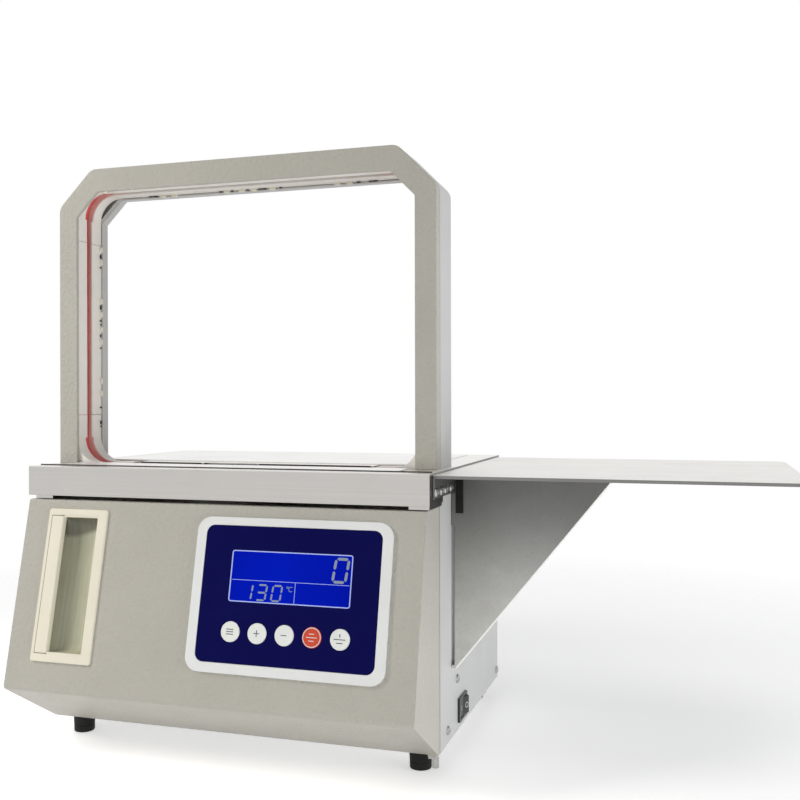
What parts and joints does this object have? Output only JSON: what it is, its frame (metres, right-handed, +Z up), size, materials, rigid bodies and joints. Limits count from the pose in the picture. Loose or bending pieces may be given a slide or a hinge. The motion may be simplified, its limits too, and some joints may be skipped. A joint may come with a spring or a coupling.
{
  "type": "banknote strapping machine",
  "caption": "Bench-height box with a stainless deck, a tape arch over it, a tilted front door with a control panel, and a side extension table",
  "frame": {"origin": "on the floor, in the middle of the four feet", "axes": "+X to the right along the front, towards the extension table; +Y to the back, through the arch; +Z up"},
  "size_m": [0.7595, 0.3683, 0.608],
  "materials": {
    "textured_paint": "orange-peel powder coat, satin",
    "smooth_paint": "smooth powder coat, satin",
    "deck_steel": "fine brushed stainless sheet",
    "plate_steel": "satin stainless plate",
    "cream_plastic": "moulded plastic, low sheen",
    "red_liner": "smooth strip",
    "bezel_white": "moulded plastic, soft gloss",
    "overlay_navy": "printed polyester film",
    "display_blue": "backlit display window",
    "button_white": "moulded cap",
    "button_red": "moulded cap",
    "black_plastic": "moulded plastic, fine grain",
    "black_rubber": "rubber",
    "bright_screw": "plated steel",
    "machined_steel": "turned and ground steel",
    "plated_sheet": "zinc plated sheet",
    "tape_film": "wound plastic tape",
    "grey_plastic": "moulded plastic",
    "board_green": "coated circuit board",
    "motor_case": "painted steel case"
  },
  "bodies": {
    "housing": {"arch_front_frame": "textured_paint", "arch_rear_cover": "smooth_paint", "base_pan": "smooth_paint", "cam_motor": "motor_case", "chassis_plate": "plated_sheet", "control_board": "board_green", "deck_tray": "deck_steel", "door_catch": "black_plastic", "door_pivot_pins": "bright_screw", "extension_table": "plate_steel", "feed_motor": "motor_case", "guide_corner_bottom_left": "cream_plastic", "guide_corner_bottom_right": "cream_plastic", "guide_corner_top_left": "cream_plastic", "guide_corner_top_right": "cream_plastic", "guide_left": "cream_plastic", "guide_liner": "red_liner", "guide_right": "cream_plastic", "guide_top": "cream_plastic", "gusset_front": "smooth_paint", "gusset_pads": "black_rubber", "gusset_rear": "smooth_paint", "head_block": "machined_steel", "lower_guide_left": "cream_plastic", "lower_guide_right": "cream_plastic", "power_inlet": "black_plastic", "rear_panel": "smooth_paint", "reel_spindle": "machined_steel", "round_head_screws": "bright_screw", "rubber_feet": "black_rubber", "side_panel_left": "smooth_paint", "side_panel_right": "smooth_paint", "switch_frame": "black_plastic", "table_plate_front": "plate_steel", "table_plate_rear": "plate_steel"},
    "door": {"door_shell": "textured_paint", "pull_cup": "cream_plastic", "panel_bezel": "bezel_white", "panel_overlay": "overlay_navy", "display_window": "display_blue", "panel_board": "board_green"},
    "menu_key": {"button_menu": "button_white"},
    "plus_key": {"button_plus": "button_white"},
    "minus_key": {"button_minus": "button_white"},
    "reset_key": {"button_reset": "button_red"},
    "mode_key": {"button_mode": "button_white"},
    "rocker": {"switch_rocker": "black_plastic"},
    "reel": {"reel_hub": "grey_plastic", "reel_clamp": "grey_plastic", "tape_roll": "tape_film"},
    "dancer": {"tension_arm": "machined_steel"},
    "dancer_roller": {"tension_roller": "grey_plastic"},
    "feed": {"feed_roller": "machined_steel"},
    "pinch": {"pinch_roller": "black_rubber"},
    "cams": {"cam_shaft": "machined_steel"},
    "press": {"press_block": "machined_steel"},
    "left_gripper": {"gripper_left": "machined_steel"},
    "right_gripper": {"gripper_right": "machined_steel"},
    "heater": {"heater_blade": "machined_steel"},
    "anvil": {"anvil_plate": "machined_steel"}
  },
  "joints": [
    {"name": "door_hinge", "type": "hinge", "parent": "housing", "child": "door", "pos_m": [0.2093, -0.134, 0.14], "axis": [0, 0, 1], "range_deg": [0, 95]},
    {"name": "menu_press", "type": "slide", "parent": "door", "child": "menu_key", "axis": [0, 0.9755, -0.2198], "range_m": [0, 0.0008], "stiffness_N_per_m": 400, "springref_m": -0.0008},
    {"name": "plus_press", "type": "slide", "parent": "door", "child": "plus_key", "axis": [0, 0.9755, -0.2198], "range_m": [0, 0.0008], "stiffness_N_per_m": 400, "springref_m": -0.0008},
    {"name": "minus_press", "type": "slide", "parent": "door", "child": "minus_key", "axis": [0, 0.9755, -0.2198], "range_m": [0, 0.0008], "stiffness_N_per_m": 400, "springref_m": -0.0008},
    {"name": "reset_press", "type": "slide", "parent": "door", "child": "reset_key", "axis": [0, 0.9755, -0.2198], "range_m": [0, 0.0008], "stiffness_N_per_m": 400, "springref_m": -0.0008},
    {"name": "mode_press", "type": "slide", "parent": "door", "child": "mode_key", "axis": [0, 0.9755, -0.2198], "range_m": [0, 0.0008], "stiffness_N_per_m": 400, "springref_m": -0.0008},
    {"name": "rocker_tilt", "type": "hinge", "parent": "housing", "child": "rocker", "pos_m": [0.2108, -0.043, 0.039], "axis": [0, 0, 1], "range_deg": [0, 18]},
    {"name": "reel_spin", "type": "hinge", "parent": "housing", "child": "reel", "pos_m": [-0.122, -0.095, 0.11], "axis": [0, 1, 0], "continuous": true},
    {"name": "dancer_swing", "type": "hinge", "parent": "housing", "child": "dancer", "pos_m": [0.02, -0.08, 0.12], "axis": [0, 1, 0], "range_deg": [-20, 20], "stiffness_Nm_per_rad": 0.6},
    {"name": "dancer_roller_spin", "type": "hinge", "parent": "dancer", "child": "dancer_roller", "pos_m": [0.07023, -0.095, 0.091], "axis": [0, 1, 0], "continuous": true},
    {"name": "feed_spin", "type": "hinge", "parent": "housing", "child": "feed", "pos_m": [0.024, -0.095, 0.25], "axis": [0, 1, 0], "continuous": true},
    {"name": "pinch_spin", "type": "hinge", "parent": "housing", "child": "pinch", "pos_m": [0.0463, -0.095, 0.25], "axis": [0, 1, 0], "continuous": true},
    {"name": "cam_spin", "type": "hinge", "parent": "housing", "child": "cams", "pos_m": [-0.032, -0.095, 0.16], "axis": [0, 1, 0], "continuous": true},
    {"name": "press_lift", "type": "slide", "parent": "housing", "child": "press", "axis": [0, 0, 1], "range_m": [0, 0.008]},
    {"name": "left_gripper_lift", "type": "slide", "parent": "housing", "child": "left_gripper", "axis": [0, 0, 1], "range_m": [0, 0.008]},
    {"name": "right_gripper_lift", "type": "slide", "parent": "housing", "child": "right_gripper", "axis": [0, 0, 1], "range_m": [0, 0.008]},
    {"name": "heater_slide", "type": "slide", "parent": "housing", "child": "heater", "axis": [0, -1, 0], "range_m": [0, 0.024]},
    {"name": "anvil_slide", "type": "slide", "parent": "housing", "child": "anvil", "axis": [0, 1, 0], "range_m": [0, 0.026]}
  ],
  "couplings": [
    {"joint": "pinch_spin", "follows": "feed_spin", "ratio": -1.2}
  ]
}
